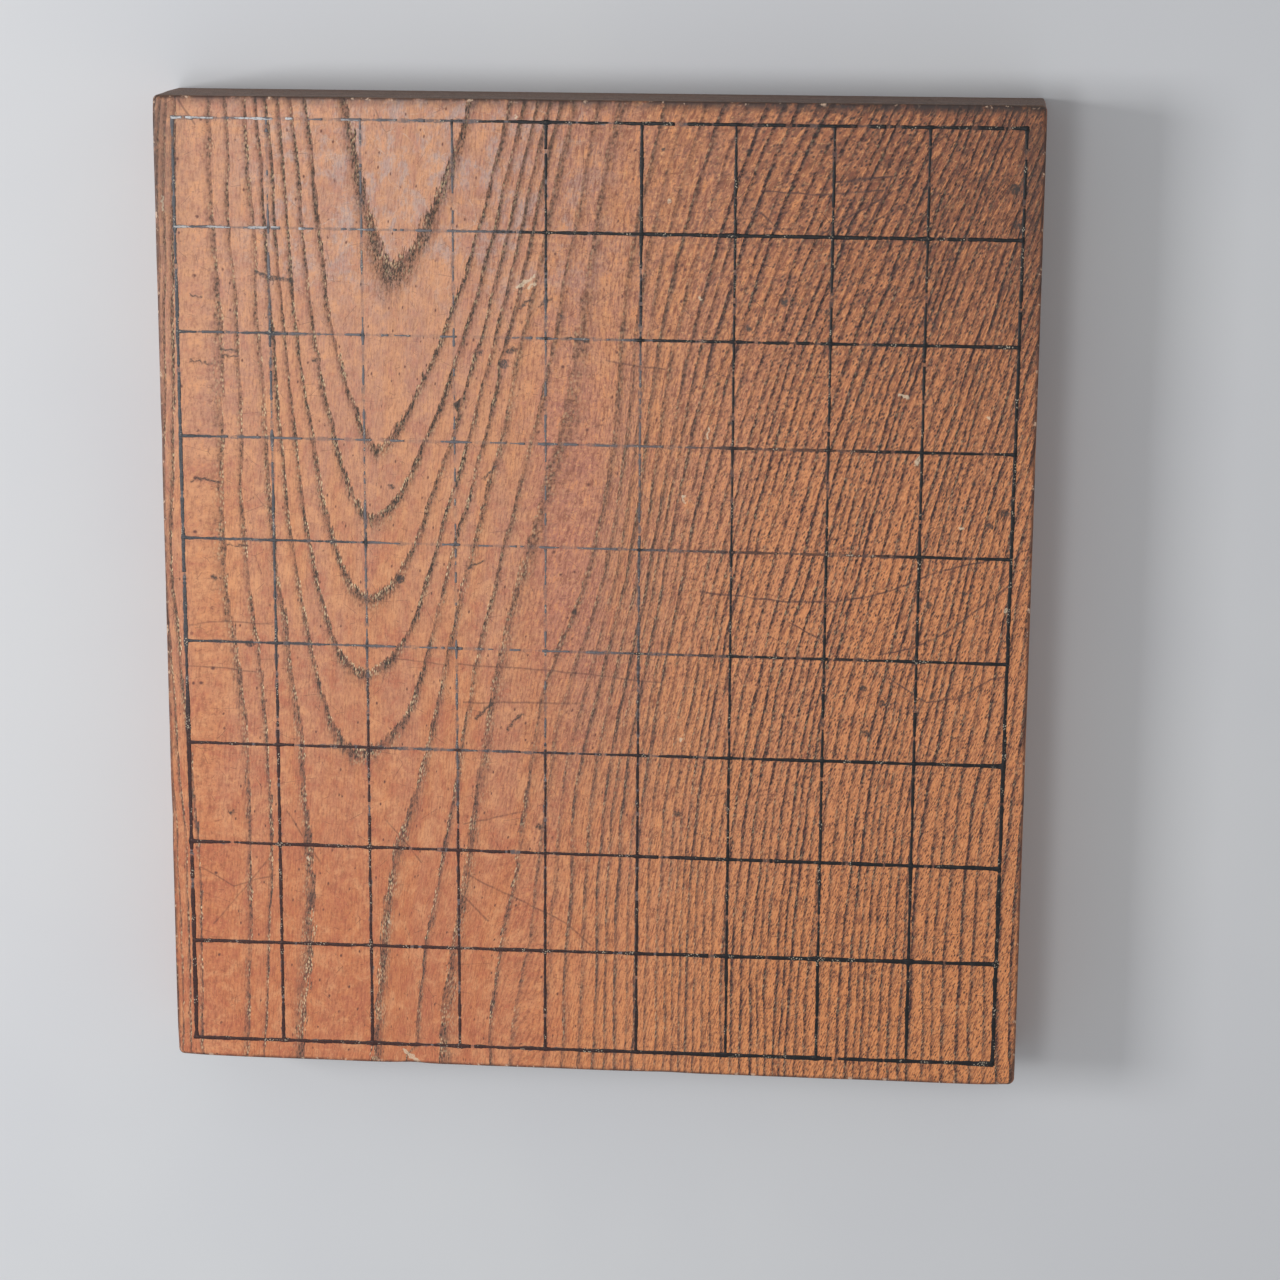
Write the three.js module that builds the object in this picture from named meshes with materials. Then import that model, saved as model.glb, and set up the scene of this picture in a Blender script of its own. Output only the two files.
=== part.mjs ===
// An old table board for shogi: one thick plank, whose playing face carries a grid of nine by nine cells,
// drawn as raised strokes of black lacquer.
// Millimetres, +Z up. The origin is the middle of the underside, +Z points out of the playing face,
// +X to the right and +Y to the far end. File strokes run along Y and are counted from the left,
// rank strokes run along X and are counted from the far end.

import * as THREE from "three";
import { RoundedBoxGeometry } from "three/addons/geometries/RoundedBoxGeometry.js";

// The grid of cells.
const cellCount = 9;
const cellWidth = 35.2;
const cellLength = 40.2;

// The plank. Its margins run from the middle of an outer stroke to the plank's edge.
const sideMargin = 7.6;
const endMargin = 8.6;
const plankThickness = 42.5;
const arrisRadius = 1.0;
const arrisSegments = 3;

// The lacquer strokes. The crown is a stroke's flat top.
const strokeWidth = 1.1;
const strokeHeight = 0.25;
const crownShare = 0.6;
const crossingRamp = 0.6;
const crossingClearance = 0.1;

// How wide each stroke was drawn, as a share of the usual stroke.
const fileWidthShares = [1.3, 1.15, 1.05, 1, 1, 1.05, 0.95, 1, 1.05, 1.15];
const rankWidthShares = [1.1, 1.15, 1, 0.95, 0.9, 0.9, 1, 1.15, 1.2, 1.2];

// How far each stroke's two ends stray from the true grid, as shares of a cell. A file strays to the right,
// first at its near end and then at its far end. A rank strays to the far end, first at its left end.
const fileNearShares = [0.003, 0.003, 0.017, 0.011, -0.026, -0.003, 0, 0.011, 0.009, -0.034];
const fileFarShares = [-0.006, 0.006, 0.011, -0.009, -0.011, 0.003, -0.006, 0.023, 0.017, 0.014];
const rankLeftShares = [0.01, 0, 0.012, 0.017, 0.03, 0.02, 0.005, 0.005, -0.012, -0.022];
const rankRightShares = [0.005, -0.01, 0.005, 0.002, 0.007, -0.002, 0.002, -0.015, 0.022, 0.005];

const gridWidth = cellCount * cellWidth;
const gridLength = cellCount * cellLength;
const plankWidth = gridWidth + 2 * sideMargin;
const plankLength = gridLength + 2 * endMargin;
const strokeCount = cellCount + 1;

const up = new THREE.Vector3(0, 0, 1);
const alongFiles = new THREE.Vector3(0, 1, 0);
const alongRanks = new THREE.Vector3(1, 0, 0);

const wood = new THREE.MeshStandardMaterial({ color: "#9a6244", roughness: 0.5, metalness: 0 });
const lacquer = new THREE.MeshStandardMaterial({ color: "#1c1f24", roughness: 0.35, metalness: 0 });

// A table of shares serves a grid of any cell count: it starts again when it runs out.
function shareOf(shares, index) {
  return shares[index % shares.length];
}

function fileWidth(index) {
  return strokeWidth * shareOf(fileWidthShares, index);
}

function rankWidth(index) {
  return strokeWidth * shareOf(rankWidthShares, index);
}

// The middle of a file stroke, where it passes a given place along the board.
function fileMiddle(index, y) {
  const along = y / gridLength + 1 / 2;
  const stray = THREE.MathUtils.lerp(shareOf(fileNearShares, index), shareOf(fileFarShares, index), along);
  return (index + stray) * cellWidth - gridWidth / 2;
}

// The middle of a rank stroke, where it passes a given place across the board.
function rankMiddle(index, x) {
  const across = x / gridWidth + 1 / 2;
  const stray = THREE.MathUtils.lerp(shareOf(rankLeftShares, index), shareOf(rankRightShares, index), across);
  return gridLength / 2 - (index - stray) * cellLength;
}

// A stroke is a low bead with a sloping flank on each side of its crown. It is lofted through the points
// of its underside's middle, and travels along one axis of the board.
function strokeGeometry(points, travel, width) {
  const sideways = up.clone().cross(travel);
  const section = [
    { aside: -width / 2, height: 0 },
    { aside: width / 2, height: 0 },
    { aside: (width * crownShare) / 2, height: strokeHeight },
    { aside: (-width * crownShare) / 2, height: strokeHeight },
  ];
  const corners = section.length;
  const vertices = points.flatMap((point) =>
    section.map((corner) =>
      point.clone().addScaledVector(sideways, corner.aside).addScaledVector(up, corner.height),
    ),
  );
  const faces = [];
  for (let step = 0; step < points.length - 1; step += 1) {
    for (let corner = 0; corner < corners; corner += 1) {
      const here = step * corners + corner;
      const beside = step * corners + ((corner + 1) % corners);
      faces.push(here, beside, beside + corners, here, beside + corners, here + corners);
    }
  }
  const last = (points.length - 1) * corners;
  faces.push(0, 2, 1, 0, 3, 2);
  faces.push(last, last + 1, last + 2, last, last + 2, last + 3);
  const geometry = new THREE.BufferGeometry().setFromPoints(vertices);
  geometry.setIndex(faces);
  geometry.computeVertexNormals();
  return geometry;
}

// A file stroke lies flat on the plank, from the outer flank of the first rank stroke to that of the last.
function fileStroke(index) {
  const nearRank = strokeCount - 1;
  const nearEnd = rankMiddle(nearRank, fileMiddle(index, -gridLength / 2)) - rankWidth(nearRank) / 2;
  const farEnd = rankMiddle(0, fileMiddle(index, gridLength / 2)) + rankWidth(0) / 2;
  const points = [nearEnd, farEnd].map((y) => new THREE.Vector3(fileMiddle(index, y), y, plankThickness));
  const mesh = new THREE.Mesh(strokeGeometry(points, alongFiles, fileWidth(index)), lacquer);
  mesh.name = `file_line_${index}`;
  return mesh;
}

// A rank stroke was drawn over the dry file strokes, so it climbs onto each of them and down again.
// Its two ends stay on the crowns of the outer file strokes.
function rankStroke(index) {
  const points = [];
  const addPoint = (x, floor) => points.push(new THREE.Vector3(x, rankMiddle(index, x), plankThickness + floor));
  for (let file = 0; file < strokeCount; file += 1) {
    const straight = gridLength / 2 - index * cellLength;
    const crossing = fileMiddle(file, straight);
    const top = fileWidth(file) / 2 + crossingClearance;
    if (file === 0) {
      addPoint(crossing - (fileWidth(file) * crownShare) / 2, strokeHeight);
    } else {
      addPoint(crossing - top - crossingRamp, 0);
      addPoint(crossing - top, strokeHeight);
    }
    if (file === strokeCount - 1) {
      addPoint(crossing + (fileWidth(file) * crownShare) / 2, strokeHeight);
    } else {
      addPoint(crossing + top, strokeHeight);
      addPoint(crossing + top + crossingRamp, 0);
    }
  }
  const mesh = new THREE.Mesh(strokeGeometry(points, alongRanks, rankWidth(index)), lacquer);
  mesh.name = `rank_line_${index}`;
  return mesh;
}

// The plank is one solid piece, eased along all its edges and corners.
function plank() {
  const geometry = new RoundedBoxGeometry(plankWidth, plankLength, plankThickness, arrisSegments, arrisRadius);
  const mesh = new THREE.Mesh(geometry, wood);
  mesh.name = "board_plank";
  mesh.position.z = plankThickness / 2;
  return mesh;
}

const board = new THREE.Group();
board.name = "shogi_board";
board.add(plank());
for (let index = 0; index < strokeCount; index += 1) {
  board.add(fileStroke(index));
  board.add(rankStroke(index));
}

export default board;
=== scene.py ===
"""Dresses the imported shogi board: old wood, worn lines of black lacquer, a pale floor, lamps and a camera.

Lengths are in metres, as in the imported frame. The origin is the middle of the underside, +Z points out of the
playing face, +X to the right and +Y to the far end. Materials, and tables that say so, are in millimetres.
"""

import math

import bpy
import numpy as np
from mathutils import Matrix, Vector


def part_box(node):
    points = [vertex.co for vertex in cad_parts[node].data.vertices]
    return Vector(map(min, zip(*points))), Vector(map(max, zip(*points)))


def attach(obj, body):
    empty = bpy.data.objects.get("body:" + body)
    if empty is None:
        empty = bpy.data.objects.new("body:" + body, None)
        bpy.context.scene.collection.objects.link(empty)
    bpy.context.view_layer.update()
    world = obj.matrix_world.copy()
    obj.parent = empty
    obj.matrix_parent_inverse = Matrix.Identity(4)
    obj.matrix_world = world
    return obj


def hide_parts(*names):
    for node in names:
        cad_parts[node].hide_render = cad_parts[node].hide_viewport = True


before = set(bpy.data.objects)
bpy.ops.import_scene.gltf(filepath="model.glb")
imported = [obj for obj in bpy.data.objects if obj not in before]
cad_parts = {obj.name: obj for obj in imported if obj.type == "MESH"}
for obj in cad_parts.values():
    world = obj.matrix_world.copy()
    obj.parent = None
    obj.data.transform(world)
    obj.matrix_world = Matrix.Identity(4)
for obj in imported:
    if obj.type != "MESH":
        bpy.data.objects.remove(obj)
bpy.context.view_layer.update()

mm = 0.001

# The plank, from the frame.
plank_low, plank_high = (np.array(corner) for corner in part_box("board_plank"))
half_width = plank_high[0]
half_length = plank_high[1]
plank_top = plank_high[2]

# Soft waves: how many are added up, how their pitch varies, and how high their sum usually gets.
wave_count = 28
wave_pitch_shares = (0.5, 1.5)
wave_peak = 1.6

# The plank's mesh, whose lines lie closer together beside an arris, and the wear of its arrises and face.
mesh_step = 2.0 * mm
arris_offsets = np.array([0, 0.2, 0.45, 0.75, 1.1, 1.6, 2.3, 3.2]) * mm
arris_radius = 0.7 * mm
arris_limits = (0.3 * mm, 3 * mm)
arris_wear_share = 0.2
arris_wear_size = 30 * mm
arris_wear_seed = 32
chip_height = 30 * mm
face_sag = 0.05 * mm
face_sag_size = 90 * mm
face_sag_seed = 31
face_blend = 2 * mm

# How the tree's rings meet the face. The pith ran above it, and the rings touch it along the heart line.
heart_offset = -87.3 * mm
heart_lean = 0.09
pith_height = 278 * mm
rise_height = 6.1 * mm
rise_reach = 261 * mm
rise_power = 4
right_lean = 0.21
right_reach = 250 * mm
left_lean = -0.06
left_reach = 101 * mm
lean_pivot = -250 * mm
edge_lean = 0.08
edge_lean_start = 60 * mm
edge_lean_reach = 190 * mm
left_stretch = 1.105
far_spread = 0.24
near_left_spread = 0.30
near_left_start = 8 * mm
near_left_reach = 22 * mm

# Where the rings stray, in millimetres: the place, its reach across and along, and how far to the right.
ring_strays = [
    (4, 60, 18, 60, 9), (-5, 0, 15, 50, 4.5), (-38, -185, 16, 70, -11), (-64, -175, 13, 60, -7),
    (-88, -165, 13, 75, 6.5), (-70, -72, 14, 55, 6), (-158, -10, 10, 250, -8),
]

# How the rings waver: seed, how far and size in millimetres, and how much longer they are along the board.
ring_wavers = [(11, 0.9, 60, 2.5), (12, 0.4, 16, 2)]

# The arches near the heart line: their rings' distances from the face's innermost wood, and their points.
arch_rings = np.array([-1.0, 1.42, 3.09, 3.72, 4.40, 5.0, 5.57, 6.24, 7.65, 8.65, 11.24, 12.3, 13.3]) * mm
arch_point_share = 0.014
arch_point_reach = 25 * mm
arch_point_fade = 75 * mm

# Beyond the arches: how far apart the rings show on the face, and how far out they are traced.
closest_rings = 2.3 * mm
widest_rings = 5.0 * mm
outermost_ring = 130 * mm
ring_seed = 7
traced_places = 2000
traced_half_widths = 5

# How wide a ring's dark porous band shows where the rings are the usual distance apart on the surface, and
# how that grows with the distance, below and above it.
usual_band = 1.55 * mm
usual_spacing = 12 * mm
close_power = 0.38
wide_power = 0.95
slope_step = 0.4 * mm
least_slope = 0.02

# Where the bands are wider than that: the place, its reach and the extra share.
soft_place = (-2 * mm, 90 * mm)
soft_reach = (38 * mm, 140 * mm)
soft_share = 0.4

# Where the bands are thinner, near the left corner of the near end, and the share that is missing.
thin_reach = 110 * mm
thin_start = 50 * mm
thin_across = 30 * mm
thin_share = 0.34

# How steeply depth slants the marks of the fibres.
fibre_slant = 6

# How much lacquer is left on the lines: the usual share, what the far end has less, and how it varies.
kept_share = 0.68
far_loss_share = 0.14
kept_wave_share = 0.07
kept_wave_size = 70 * mm
kept_wave_seed = 21

# The right and the left edge keep more: the side, where that starts, over how much it grows, and how much.
edge_kept_shares = [(1, 0.75, 0.25, 0.16), (-1, 0.85, 0.1, 0.14)]

# Where play has rubbed the lines, or spared them: how much, the place, and its squared reach across and
# along. The ranks are rubbed in one place more.
rubbed_shares = [
    (0.46, -0.22, 0.12, 0.22, 0.40),
    (0.22, -0.75, 0.85, 0.30, 0.25),
    (-0.34, 0.12, 0.82, 0.12, 0.04),
]
rank_rubbed_shares = [(0.27, 0.48, 0.11, 0.05, 0.06)]

# Waves along a stroke: what is added to its seed, how much, in millimetres for its course, and the size in
# millimetres.
course_waves = [(0, 0.07, 22), (1, 0.03, 3)]
cover_wave_shares = [(2, 0.30, 14), (52, 0.17, 3.5), (92, 0.10, 1.4)]
crossing_wave_shares = [(6, 0.6, 50)]
width_wave_shares = [(7, 0.17, 35), (3, 0.13, 9), (4, 0.09, 2.4)]
height_wave_shares = [(5, 0.16, 7)]
first_stroke_seed = 100
stroke_seed_step = 10

# The beads of lacquer: their cross-sections, the least height, and how deep their edges sink into the wood.
bead_step = 0.7 * mm
bead_points = 7
bead_roundness = 0.6
bead_least = 0.04 * mm
bead_sink = 0.03 * mm
fewest_sections = 3

# The corners this close to a packed stroke's end are its end section.
stroke_end_reach = 0.05 * mm

# Lacquer is gone below the bare share, and whole above it by the taper. What a bead's end keeps of its width
# and height, and what a crossing has more.
bare_share = 0.22
bead_taper_share = 0.25
end_width_share = 0.45
end_height_share = 0.15
crossing_blob = 1.5 * mm
crossing_reach = 4.0 * mm
crossing_kept_share = 0.3
crossing_depth_share = 0.25
blob_share = 0.65
usual_blob_share = 0.5

# How wide a bead is: usually, and what it gains with the lacquer that is left: from where, over how much, and
# how much. Ranks gain at the right, and files lose.
usual_width_share = 0.76
pressed_shares = [(0.4, 0.4, 0.30), (0.75, 0.2, 0.25)]
rank_gain_share = 0.15
rank_gain_reach = 60 * mm
file_loss_share = 0.07

# How high a bead is: usually, what a rank climbs at a crossing, and at most.
usual_height_share = 0.62
climb_share = 0.55
climb_reach = 0.6 * mm
climb_fade = 0.8 * mm
highest_share = 1.9

# Where lacquer looks thin, and where the ranks get pale painted highlights towards the far left corner.
thin_depth_share = 0.15
thin_left_share = 0.3
thin_fade_share = 0.35
highlight_start = (-60 * mm, 100 * mm)
highlight_fade = (50 * mm, 60 * mm)

# A stroke's picture holds it in rows: a row's start and length, the same across it, and the beads' end caps'
# start, length and height.
picture_rows = 12
row_shares = (0.01, 0.9)
lane_shares = (0.1, 0.8)
cap_shares = (0.96, 0.03, 0.02)

# The surroundings. Each lamp has a place, an aim, a width and a power.
floor_reach = 4.0
surround_colour = (236, 238, 240)
surround_strength = 0.42
lamps = {
    "key": ((-1.3, 0.15, 1.1), (0, 0, 0), 0.5, 16),
    "sheen": ((-0.306, 0.007, 1.5), (-0.07, 0.15, 0), 0.3, 3.4),
}

# The photograph's viewpoint. The turn is in degrees, the lens and sensor in millimetres.
camera_place = (124.6 * mm, 268.4 * mm, 1245.8 * mm)
camera_turn = (-13.144, 5.138, 0.352)
camera_lens = 91.24
sensor_width = 36


def srgb(red, green, blue):
    """The linear colour that a material wants, from how it looks on a screen, 0 to 255."""
    shares = (np.array([red, green, blue]) / 255 + 0.055) / 1.055
    return (*(shares**2.4), 1)


def smooth(share):
    """Goes from 0 to 1 with a soft start and end."""
    held = np.clip(share, 0, 1)
    return held * held * (3 - 2 * held)


def from_least(least, share):
    """Goes straight from the least value to 1 as the share goes from 0 to 1."""
    return least + (1 - least) * share


def hill(distance, reach):
    """1 at no distance, and almost 0 beyond twice the reach."""
    return np.exp(-((distance / reach) ** 2))


def waves(seed, size, *places):
    """Soft hills and hollows of about that size, mostly from -1 to 1."""
    random = np.random.default_rng(seed)
    total = np.zeros_like(places[0])
    for _ in range(wave_count):
        heading = random.normal(size=len(places))
        heading *= random.uniform(*wave_pitch_shares) / np.linalg.norm(heading)
        turns = sum(part * place for part, place in zip(heading, places)) / size
        total += np.cos(2 * math.pi * (turns + random.uniform()))
    return total * math.sqrt(2 / wave_count) / wave_peak


# The wood's rings.


def fibre_across(x, y):
    """How far a fibre lies to the right of the heart line."""
    aside = x - heart_offset - heart_lean * y
    for stray_x, stray_y, reach_across, reach_along, push in ring_strays:
        across_share = (x - stray_x * mm) / (reach_across * mm)
        along_share = (y - stray_y * mm) / (reach_along * mm)
        aside = aside - push * mm * np.exp(-(across_share**2) - along_share**2)
    right = right_lean * (y - lean_pivot) * smooth(aside / right_reach)
    left = left_lean * (y - lean_pivot) * smooth(-aside / left_reach)
    edge = edge_lean * y * smooth((aside - edge_lean_start) / edge_lean_reach)
    return aside - right - left - edge


def ring_distance(x, y, z):
    """How far out across the rings a point lies from the innermost wood of the face."""
    strayed = x
    for seed, push, size, lengthening in ring_wavers:
        strayed = strayed + push * mm * waves(seed, size * mm, x, y / lengthening, z)
    across = fibre_across(strayed, y)
    near_left = near_left_spread * smooth((-across - near_left_start) / near_left_reach) * np.maximum(-y, 0)
    spread = 1 + (far_spread * y + near_left) / half_length
    across = np.where(across < 0, left_stretch * across, across) * spread
    travelled = np.abs(half_length - y) / rise_reach
    rise = rise_height * np.tanh(travelled**rise_power) ** (1 / rise_power)
    pointed = arch_point_share * smooth(y / arch_point_fade)
    point = pointed * np.abs(across) * hill(across, arch_point_reach)
    return np.hypot(across, pith_height + rise + plank_top - z) - pith_height + point


def ring_starts():
    """Where each ring begins, as a distance out from the innermost wood of the face."""
    random = np.random.default_rng(ring_seed)
    starts = list(arch_rings)
    places = np.linspace(heart_offset, traced_half_widths * half_width, traced_places)
    distances = ring_distance(places, 0 * places, plank_top + 0 * places)
    place = np.interp(starts[-1], distances, places)
    while starts[-1] < outermost_ring:
        place += random.uniform(closest_rings, widest_rings)
        starts.append(np.interp(place, places, distances))
    return np.array(starts)


starts = ring_starts()
ring_widths = np.diff(starts)
ring_middles = (starts[1:] + starts[:-1]) / 2


def grain_at(points, normals):
    """For each point: its ring number, how far apart the rings show there, and how wide the band is."""
    distance = ring_distance(*points.T)
    gradient = np.stack(
        [(ring_distance(*(points + slope_step * axis).T) - distance) / slope_step for axis in np.eye(3)],
        axis=1,
    )
    along_normal = np.sum(gradient * normals, axis=1)[:, None] * normals
    slope = np.linalg.norm(gradient - along_normal, axis=1)
    spacing = np.interp(distance, ring_middles, ring_widths) / np.maximum(slope, least_slope)
    number = np.interp(distance, starts, np.arange(len(starts)))
    stretch = spacing / usual_spacing
    band = usual_band * np.maximum(stretch**close_power, stretch**wide_power)
    softness = [((points[:, axis] - soft_place[axis]) / soft_reach[axis]) ** 2 for axis in (0, 1)]
    band = band * (1 + soft_share * np.exp(-softness[0] - softness[1]))
    near_left = smooth(-points[:, 1] / thin_reach) * smooth((-points[:, 0] - thin_start) / thin_across)
    band = band * (1 - thin_share * near_left)
    return np.stack([number, spacing / mm, band / mm], axis=1)


def fibre_at(points):
    """For each point: millimetres across and along the fibres, both slanted by depth."""
    x, y, z = points.T
    depth = plank_top - z
    across = fibre_across(x, y) + depth
    along = y - fibre_slant * depth
    return np.stack([across, along, np.zeros_like(x)], axis=1) / mm


# The drawn grid, from the frame.


def stroke_of(name, travel):
    """A drawn stroke's two ends and its width. It travels along axis 0 or 1."""
    points = np.array([vertex.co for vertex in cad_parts[name].data.vertices])
    ends = []
    for limit in (points[:, travel].min(), points[:, travel].max()):
        asides = points[np.abs(points[:, travel] - limit) < stroke_end_reach, 1 - travel]
        middle = (asides.min() + asides.max()) / 2
        ends.append((limit, middle) if travel == 0 else (middle, limit))
    return *ends, asides.max() - asides.min()


line_count = sum(name.startswith("file_line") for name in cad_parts)
files = [stroke_of(f"file_line_{index}", 1) for index in range(line_count)]
ranks = [stroke_of(f"rank_line_{index}", 0) for index in range(line_count)]
bead_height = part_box("file_line_0")[1].z - plank_top
grid_left, grid_right = ((files[index][0][0] + files[index][1][0]) / 2 for index in (0, -1))
grid_far, grid_near = ((ranks[index][0][1] + ranks[index][1][1]) / 2 for index in (0, -1))
cell_width = (grid_right - grid_left) / (line_count - 1)
cell_length = (grid_far - grid_near) / (line_count - 1)


def middle_of(stroke, travel, place):
    """Where the stroke's middle is, at places along its travel."""
    start, end, _ = stroke
    share = (place - start[travel]) / (end[travel] - start[travel])
    return start[1 - travel] + share * (end[1 - travel] - start[1 - travel])


def grid_number(strokes, travel, along, aside, true_number):
    """The number of the stroke at a place, with even shares between two strokes."""
    lower = np.clip(np.floor(true_number).astype(int), 0, line_count - 2)
    middles = np.stack([middle_of(stroke, travel, along) for stroke in strokes])
    first = np.take_along_axis(middles, lower[None], axis=0)[0]
    second = np.take_along_axis(middles, lower[None] + 1, axis=0)[0]
    return lower + (aside - first) / (second - first)


def rubbed_at(rubs, x, y):
    """How much lacquer the given rubbed places have lost there."""
    right = x / half_width
    far = y / half_length
    lost = 0
    for share, middle, along, reach, reach_along in rubs:
        lost = lost + share * np.exp(-((right - middle) ** 2) / reach - (far - along) ** 2 / reach_along)
    return lost


def line_strength(x, y):
    """How much lacquer is left: most at the near end, least left of the middle."""
    kept = kept_share - far_loss_share * y / half_length - rubbed_at(rubbed_shares, x, y)
    for side, start, fade, gain in edge_kept_shares:
        kept = kept + gain * smooth((side * x / half_width - start) / fade)
    return kept + kept_wave_share * waves(kept_wave_seed, kept_wave_size, x, y)


def grid_at(points):
    """For each point: its file and rank number, and how much lacquer is left there."""
    x, y, _ = points.T
    file_number = grid_number(files, 1, y, x, (x - grid_left) / cell_width)
    rank_number = grid_number(ranks, 0, x, y, (grid_far - y) / cell_length)
    return np.stack([file_number, rank_number, line_strength(x, y)], axis=1)


# The plank's shape.

# Dents in the playing face, in millimetres: place, radius and depth.
dents = [
    (-34, 91, 2.6, 0.35), (-31, 96, 2, 0.25), (-43, 95, 1.6, 0.2), (-133, -20, 2.6, 0.25),
    (-52, 75, 2.4, 0.25), (-106, 91, 1.8, 0.2), (-71.5, -187.5, 3.6, 0.6), (155, 159, 2.6, 0.35),
    (156, 146, 2.2, 0.35), (155, 38, 2.4, 0.35), (71, 116, 2.2, 0.25), (105, -49, 2, 0.25),
    (111, -37, 1.8, 0.25),
]

# Worn or chipped places of the arrises, in millimetres: place, reach, and how much wider the arris gets.
chips = [
    (-166, 189.5, 6, 1.4), (166, 189.5, 7, 1.6), (100, 189.5, 6, 0.7), (-10, 189.5, 5, 0.6),
    (166, 150, 7, 0.9), (166, 60, 9, 1.1), (166, -50, 8, 0.8), (-166, 60, 6, 0.7), (-166, -90, 8, 0.9),
    (-166, -189.5, 9, 1.8), (166, -189.5, 9, 2.0), (-71.5, -189.5, 6, 1.2), (30, -189.5, 8, 0.8),
]


def sag_at(x, y):
    """How far the worn face lies below the true one."""
    depth = face_sag * (1 + waves(face_sag_seed, face_sag_size, x, y)) / 2
    for dent_x, dent_y, radius, deep in dents:
        depth = depth + deep * mm * hill(np.hypot(x - dent_x * mm, y - dent_y * mm), radius * mm)
    return np.maximum(depth, 0)


def arris_at(points):
    """How wide the rounding is, near each point of the plank's true box."""
    x, y, z = points.T
    radius = arris_radius * (1 + arris_wear_share * waves(arris_wear_seed, arris_wear_size, x, y, 2 * z))
    upper = smooth(1 - (plank_top - z) / chip_height)
    for chip_x, chip_y, reach, extra in chips:
        radius = radius + extra * mm * hill(np.hypot(x - chip_x * mm, y - chip_y * mm), reach * mm) * upper
    return np.clip(radius, *arris_limits)[:, None]


def graded(low, high):
    """Places from low to high, close together at both ends."""
    inner_low = low + arris_offsets[-1]
    inner_high = high - arris_offsets[-1]
    count = round((inner_high - inner_low) / mesh_step)
    inner = np.linspace(inner_low, inner_high, count + 1)[1:-1]
    return np.concatenate([low + arris_offsets, inner, high - arris_offsets[::-1]])


def box_sides(lines):
    """The sides of a box: for each, its axis, whether it is the upper one, its two directions, its corners'
    line numbers, and whether they turn outward."""
    last = [len(line) - 1 for line in lines]
    for axis in range(3):
        first, second = [other for other in range(3) if other != axis]
        rows, columns = np.meshgrid(np.arange(last[first] + 1), np.arange(last[second] + 1), indexing="ij")
        for end in (0, last[axis]):
            keys = np.zeros((*rows.shape, 3), int)
            keys[..., axis] = end
            keys[..., first] = rows
            keys[..., second] = columns
            yield axis, end > 0, first, second, keys, (end > 0) == (axis != 1)


# Where each side of the plank lies in its picture: left, bottom, width and height.
side_picture_shares = {
    (2, True): (0.004, 0.186, 0.708, 0.810),
    (2, False): (0.722, 0.004, 0.270, 0.308),
    (0, True): (0.004, 0.004, 0.708, 0.080),
    (0, False): (0.004, 0.094, 0.708, 0.080),
    (1, True): (0.722, 0.322, 0.084, 0.670),
    (1, False): (0.816, 0.322, 0.084, 0.670),
}


def side_places(axis, upper, first, second, keys, lines):
    """Where a side's corners lie in the plank's picture."""
    shares = []
    for direction in (first, second):
        line = lines[direction]
        shares.append((line[keys[..., direction]] - line[0]) / (line[-1] - line[0]))
    left, bottom, width, height = side_picture_shares[(axis, upper)]
    if axis == 1:
        shares.reverse()
    return np.stack([left + width * shares[0], bottom + height * shares[1]], axis=-1)


def add_measure(mesh, name, values):
    """Gives each corner of a mesh three numbers, which its material reads by name."""
    attribute = mesh.attributes.new(name, "FLOAT_VECTOR", "POINT")
    attribute.data.foreach_set("vector", values.astype(np.float32).ravel())


def dressed_mesh(name, points, faces, spots):
    """A smooth mesh, with the place of each face's corners in its picture."""
    mesh = bpy.data.meshes.new(name)
    mesh.from_pydata(points.tolist(), [], faces)
    mesh.uv_layers.new(name="OFBake").data.foreach_set("uv", spots.astype(np.float32).ravel())
    mesh.shade_smooth()
    return mesh


def plank_mesh():
    """The plank as one closed mesh, with worn arrises, dents, and the measures that its wood needs."""
    lines = [graded(low, high) for low, high in zip(plank_low, plank_high)]
    corners = []
    places = []
    for axis, upper, first, second, keys, outward in box_sides(lines):
        spots = side_places(axis, upper, first, second, keys, lines)
        for table, store in ((keys, corners), (spots, places)):
            quad = [table[:-1, :-1], table[1:, :-1], table[1:, 1:], table[:-1, 1:]]
            if not outward:
                quad.reverse()
            store.append(np.stack(quad, axis=2).reshape(-1, table.shape[-1]))
    unique, numbers = np.unique(np.concatenate(corners), axis=0, return_inverse=True)
    box_points = np.stack([lines[axis][unique[:, axis]] for axis in range(3)], axis=1)
    radius = arris_at(box_points)
    inner = np.clip(box_points, plank_low + radius, plank_high - radius)
    away = box_points - inner
    normals = away / np.linalg.norm(away, axis=1)[:, None]
    points = inner + radius * normals
    on_face = smooth((points[:, 2] - plank_top + face_blend) / face_blend)
    points[:, 2] -= sag_at(points[:, 0], points[:, 1]) * on_face
    mesh = dressed_mesh("worn_plank", points, numbers.reshape(-1, 4).tolist(), np.concatenate(places))
    add_measure(mesh, "grain", grain_at(points, normals))
    add_measure(mesh, "fibre", fibre_at(points))
    add_measure(mesh, "grid", grid_at(points))
    return mesh


# The lacquer lines' shape.


def stroke_waves(seed, along, layers):
    """Waves of several sizes along a stroke, added up."""
    total = np.zeros_like(along)
    for number, amount, size in layers:
        total = total + amount * waves(seed + number, size * mm, along)
    return total


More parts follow.
